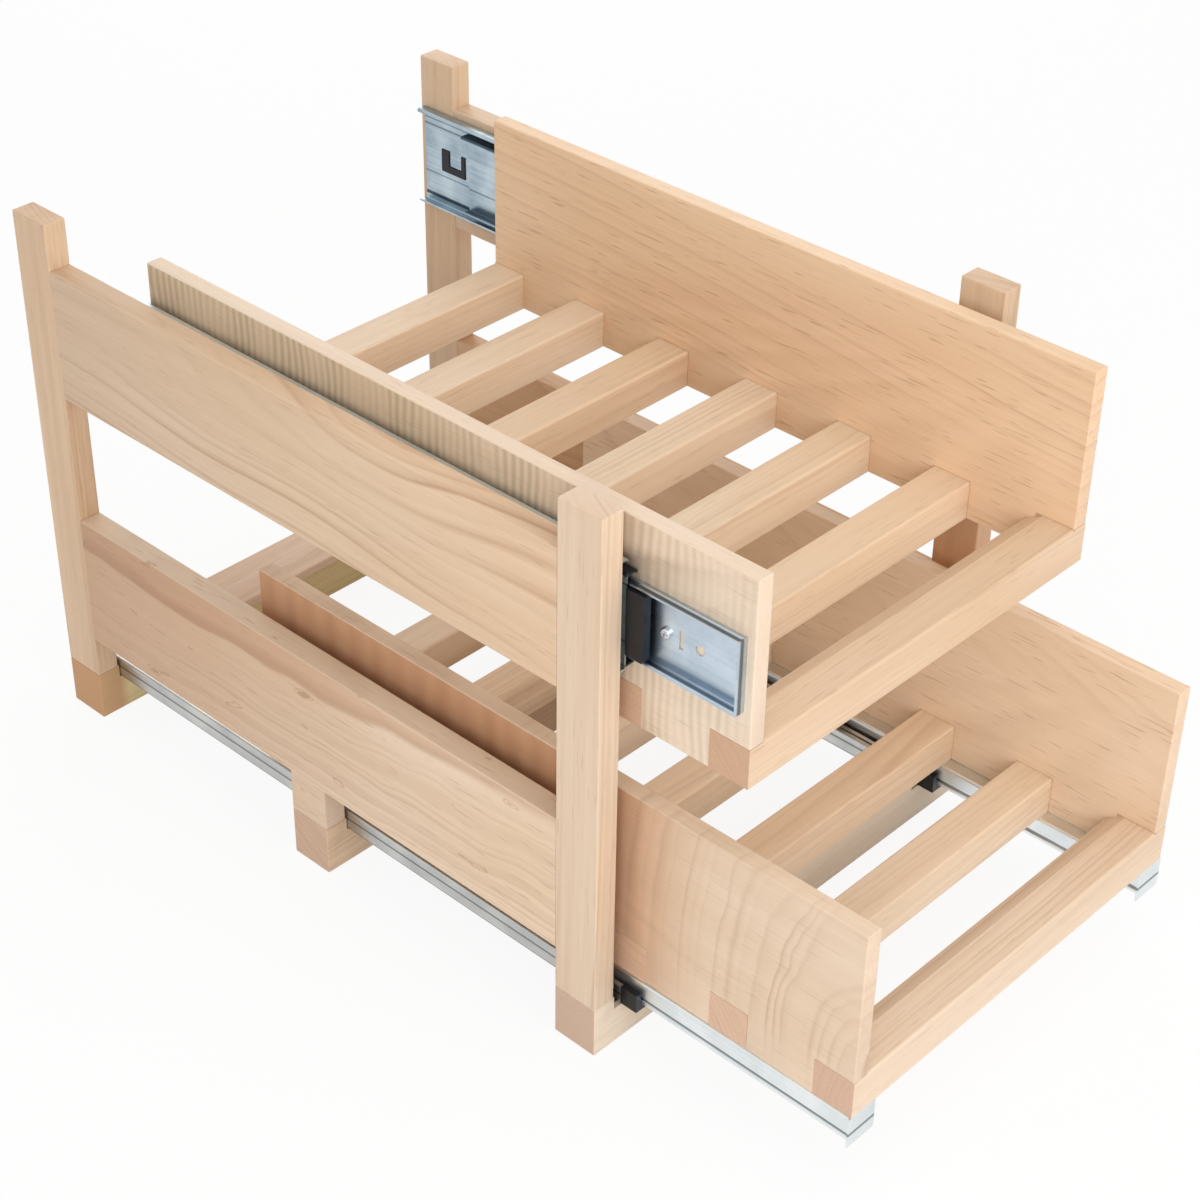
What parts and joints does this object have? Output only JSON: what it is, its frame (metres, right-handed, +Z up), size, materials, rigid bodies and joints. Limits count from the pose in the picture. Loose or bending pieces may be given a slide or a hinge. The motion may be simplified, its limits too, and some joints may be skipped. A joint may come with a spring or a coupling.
{
  "type": "in-cabinet wine rack",
  "caption": "In-cabinet wine rack: open wooden frame on cross-members with slatted bottle trays, one above the other, that pull out on ball-bearing slides.",
  "frame": {"origin": "on the floor, at the middle of the frame: centre of the middle cross-member's underside", "axes": "+X to the right seen from the front, +Y to the back of the cabinet, +Z up; the trays pull out along -Y"},
  "size_m": [0.402, 0.746, 0.42],
  "materials": {
    "frame_maple": "satin",
    "tray_maple": "satin",
    "slat_maple": "satin",
    "dowel_wood": "matt",
    "zinc_plated_steel": "bright zinc",
    "ball_steel": "bright",
    "screw_steel": "zinc",
    "black_plastic": "matt"
  },
  "bodies": {
    "frame": {"cabinet_screws": "screw_steel", "closing_catches": "black_plastic", "cross_member_front": "frame_maple", "cross_member_middle": "frame_maple", "cross_member_rear": "frame_maple", "frame_dowels": "dowel_wood", "lower_left_cabinet_member": "zinc_plated_steel", "lower_rail_left": "frame_maple", "lower_rail_right": "frame_maple", "lower_right_cabinet_member": "zinc_plated_steel", "post_front_left": "frame_maple", "post_front_right": "frame_maple", "post_rear_left": "frame_maple", "post_rear_right": "frame_maple", "rear_strip": "frame_maple", "upper_left_cabinet_member": "zinc_plated_steel", "upper_rail_left": "frame_maple", "upper_rail_right": "frame_maple", "upper_right_cabinet_member": "zinc_plated_steel"},
    "lower_tray": {"lower_drawer_screws": "screw_steel", "lower_left_drawer_member": "zinc_plated_steel", "lower_right_drawer_member": "zinc_plated_steel", "lower_slat_1": "slat_maple", "lower_slat_2": "slat_maple", "lower_slat_3": "slat_maple", "lower_slat_4": "slat_maple", "lower_slat_5": "slat_maple", "lower_slat_6": "slat_maple", "lower_slat_7": "slat_maple", "lower_tray_side_left": "tray_maple", "lower_tray_side_right": "tray_maple"},
    "lower_left_middle": {"lower_left_bumper": "black_plastic", "lower_left_middle_member": "zinc_plated_steel"},
    "lower_left_inner_cage": {"lower_left_inner_cage": "ball_steel"},
    "lower_left_outer_cage": {"lower_left_outer_cage": "ball_steel"},
    "lower_right_middle": {"lower_right_bumper": "black_plastic", "lower_right_middle_member": "zinc_plated_steel"},
    "lower_right_inner_cage": {"lower_right_inner_cage": "ball_steel"},
    "lower_right_outer_cage": {"lower_right_outer_cage": "ball_steel"},
    "upper_tray": {"upper_drawer_screws": "screw_steel", "upper_left_drawer_member": "zinc_plated_steel", "upper_right_drawer_member": "zinc_plated_steel", "upper_slat_1": "slat_maple", "upper_slat_2": "slat_maple", "upper_slat_3": "slat_maple", "upper_slat_4": "slat_maple", "upper_slat_5": "slat_maple", "upper_slat_6": "slat_maple", "upper_slat_7": "slat_maple", "upper_tray_side_left": "tray_maple", "upper_tray_side_right": "tray_maple"},
    "upper_left_middle": {"upper_left_bumper": "black_plastic", "upper_left_middle_member": "zinc_plated_steel"},
    "upper_left_inner_cage": {"upper_left_inner_cage": "ball_steel"},
    "upper_left_outer_cage": {"upper_left_outer_cage": "ball_steel"},
    "upper_right_middle": {"upper_right_bumper": "black_plastic", "upper_right_middle_member": "zinc_plated_steel"},
    "upper_right_inner_cage": {"upper_right_inner_cage": "ball_steel"},
    "upper_right_outer_cage": {"upper_right_outer_cage": "ball_steel"}
  },
  "joints": [
    {"name": "upper_tray_slide", "type": "slide", "parent": "frame", "child": "upper_tray", "axis": [0, -1, 0], "range_m": [-0.091, 0.409]},
    {"name": "lower_tray_slide", "type": "slide", "parent": "frame", "child": "lower_tray", "axis": [0, -1, 0], "range_m": [-0.187, 0.313]},
    {"name": "upper_left_middle_slide", "type": "slide", "parent": "frame", "child": "upper_left_middle", "axis": [0, -1, 0], "range_m": [-0.0455, 0.2045]},
    {"name": "upper_left_outer_cage_slide", "type": "slide", "parent": "frame", "child": "upper_left_outer_cage", "axis": [0, -1, 0], "range_m": [-0.02275, 0.10225]},
    {"name": "upper_left_inner_cage_slide", "type": "slide", "parent": "frame", "child": "upper_left_inner_cage", "axis": [0, -1, 0], "range_m": [-0.06825, 0.30675]},
    {"name": "upper_right_middle_slide", "type": "slide", "parent": "frame", "child": "upper_right_middle", "axis": [0, -1, 0], "range_m": [-0.0455, 0.2045]},
    {"name": "upper_right_outer_cage_slide", "type": "slide", "parent": "frame", "child": "upper_right_outer_cage", "axis": [0, -1, 0], "range_m": [-0.02275, 0.10225]},
    {"name": "upper_right_inner_cage_slide", "type": "slide", "parent": "frame", "child": "upper_right_inner_cage", "axis": [0, -1, 0], "range_m": [-0.06825, 0.30675]},
    {"name": "lower_left_middle_slide", "type": "slide", "parent": "frame", "child": "lower_left_middle", "axis": [0, -1, 0], "range_m": [-0.0935, 0.1565]},
    {"name": "lower_left_outer_cage_slide", "type": "slide", "parent": "frame", "child": "lower_left_outer_cage", "axis": [0, -1, 0], "range_m": [-0.04675, 0.07825]},
    {"name": "lower_left_inner_cage_slide", "type": "slide", "parent": "frame", "child": "lower_left_inner_cage", "axis": [0, -1, 0], "range_m": [-0.14025, 0.23475]},
    {"name": "lower_right_middle_slide", "type": "slide", "parent": "frame", "child": "lower_right_middle", "axis": [0, -1, 0], "range_m": [-0.0935, 0.1565]},
    {"name": "lower_right_outer_cage_slide", "type": "slide", "parent": "frame", "child": "lower_right_outer_cage", "axis": [0, -1, 0], "range_m": [-0.04675, 0.07825]},
    {"name": "lower_right_inner_cage_slide", "type": "slide", "parent": "frame", "child": "lower_right_inner_cage", "axis": [0, -1, 0], "range_m": [-0.14025, 0.23475]}
  ],
  "couplings": [
    {"joint": "upper_left_middle_slide", "follows": "upper_tray_slide", "ratio": 0.5},
    {"joint": "upper_left_outer_cage_slide", "follows": "upper_tray_slide", "ratio": 0.25},
    {"joint": "upper_left_inner_cage_slide", "follows": "upper_tray_slide", "ratio": 0.75},
    {"joint": "upper_right_middle_slide", "follows": "upper_tray_slide", "ratio": 0.5},
    {"joint": "upper_right_outer_cage_slide", "follows": "upper_tray_slide", "ratio": 0.25},
    {"joint": "upper_right_inner_cage_slide", "follows": "upper_tray_slide", "ratio": 0.75},
    {"joint": "lower_left_middle_slide", "follows": "lower_tray_slide", "ratio": 0.5},
    {"joint": "lower_left_outer_cage_slide", "follows": "lower_tray_slide", "ratio": 0.25},
    {"joint": "lower_left_inner_cage_slide", "follows": "lower_tray_slide", "ratio": 0.75},
    {"joint": "lower_right_middle_slide", "follows": "lower_tray_slide", "ratio": 0.5},
    {"joint": "lower_right_outer_cage_slide", "follows": "lower_tray_slide", "ratio": 0.25},
    {"joint": "lower_right_inner_cage_slide", "follows": "lower_tray_slide", "ratio": 0.75}
  ]
}
